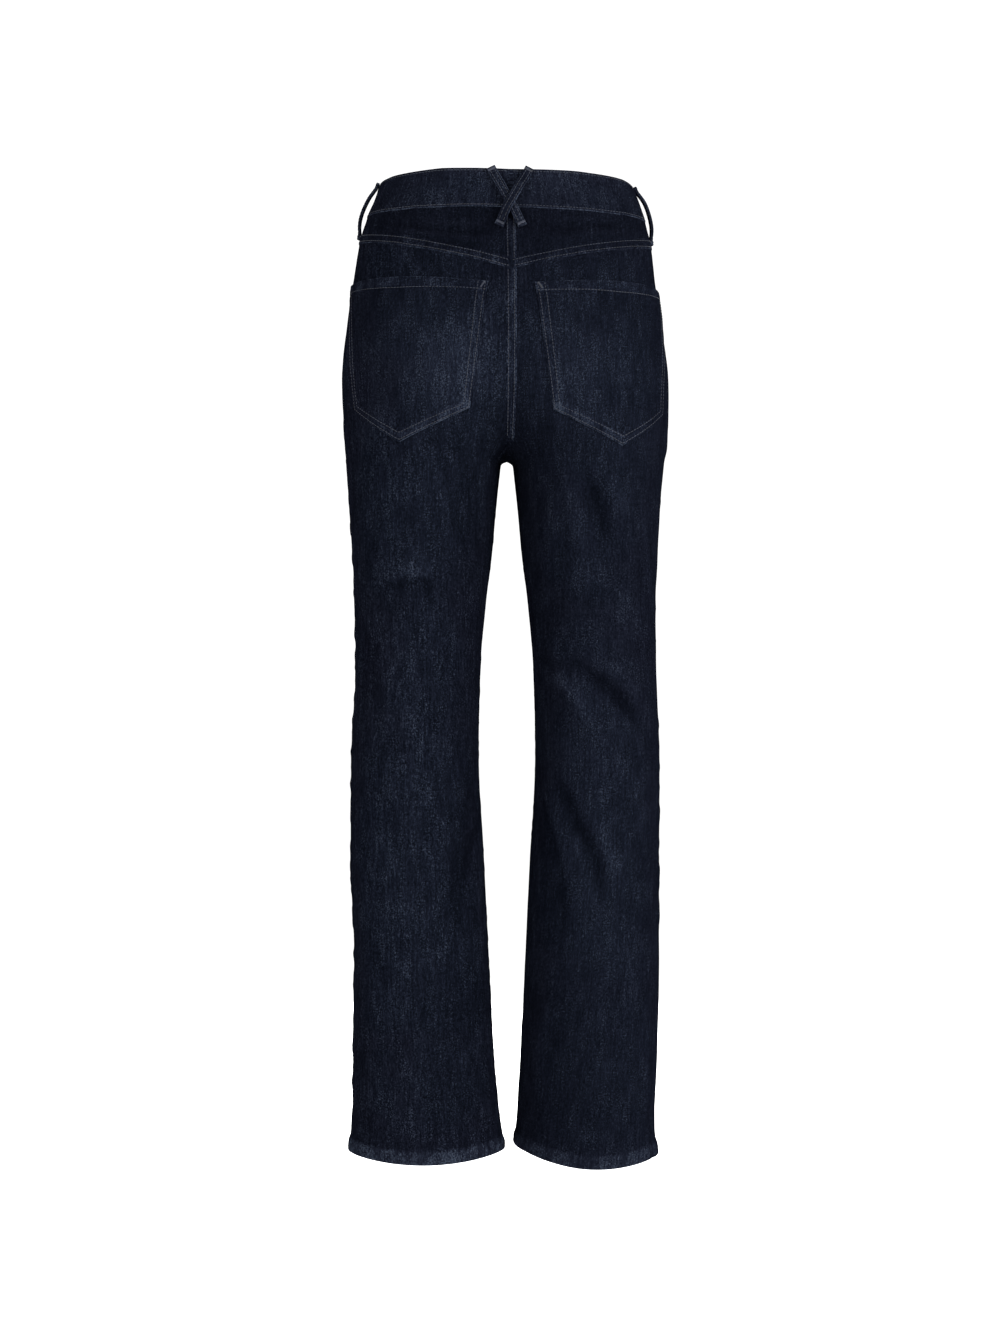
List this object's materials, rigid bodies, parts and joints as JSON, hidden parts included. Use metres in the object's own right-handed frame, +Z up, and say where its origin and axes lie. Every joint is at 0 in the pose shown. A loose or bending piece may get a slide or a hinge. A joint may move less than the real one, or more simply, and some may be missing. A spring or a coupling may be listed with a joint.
{
  "type": "straight leg jeans",
  "caption": "High-rise straight leg jeans in dark rinse denim, held open as worn, with back yoke, patch pockets on the seat and crossed belt loops at the back.",
  "frame": {"origin": "middle of the waistband ring, where the wearer's waist holds it", "axes": "+Z up, the front faces -Y, and +X is the wearer's left"},
  "size_m": [0.3362, 0.2366, 1.0149],
  "materials": {
    "back_left": "dark rinse denim, matt, twill",
    "back_right": "dark rinse denim, matt, twill",
    "button": "dark antique metal",
    "fly_shield": "dark rinse denim, matt, twill",
    "fly_zip": "dull brass teeth",
    "front_left": "dark rinse denim, matt, twill",
    "front_right": "dark rinse denim, matt, twill",
    "loop_back_left": "dark rinse denim, matt, twill",
    "loop_back_right": "dark rinse denim, matt, twill",
    "loop_front_left": "dark rinse denim, matt, twill",
    "loop_front_right": "dark rinse denim, matt, twill",
    "loop_side_left": "dark rinse denim, matt, twill",
    "loop_side_right": "dark rinse denim, matt, twill",
    "pocket_facing_left": "dark rinse denim, matt, twill",
    "pocket_facing_right": "dark rinse denim, matt, twill",
    "pocket_left": "dark rinse denim, matt, twill",
    "pocket_right": "dark rinse denim, matt, twill",
    "waistband": "dark rinse denim, matt, twill",
    "yoke_left": "dark rinse denim, matt, twill",
    "yoke_right": "dark rinse denim, matt, twill"
  },
  "bodies": {
    "root": {"back_left": "back_left", "back_right": "back_right", "button": "button", "fly_shield": "fly_shield", "fly_zip": "fly_zip", "front_left": "front_left", "front_right": "front_right", "loop_back_left": "loop_back_left", "loop_back_right": "loop_back_right", "loop_front_left": "loop_front_left", "loop_front_right": "loop_front_right", "loop_side_left": "loop_side_left", "loop_side_right": "loop_side_right", "pocket_facing_left": "pocket_facing_left", "pocket_facing_right": "pocket_facing_right", "pocket_left": "pocket_left", "pocket_right": "pocket_right", "waistband": "waistband", "yoke_left": "yoke_left", "yoke_right": "yoke_right"}
  },
  "joints": []
}
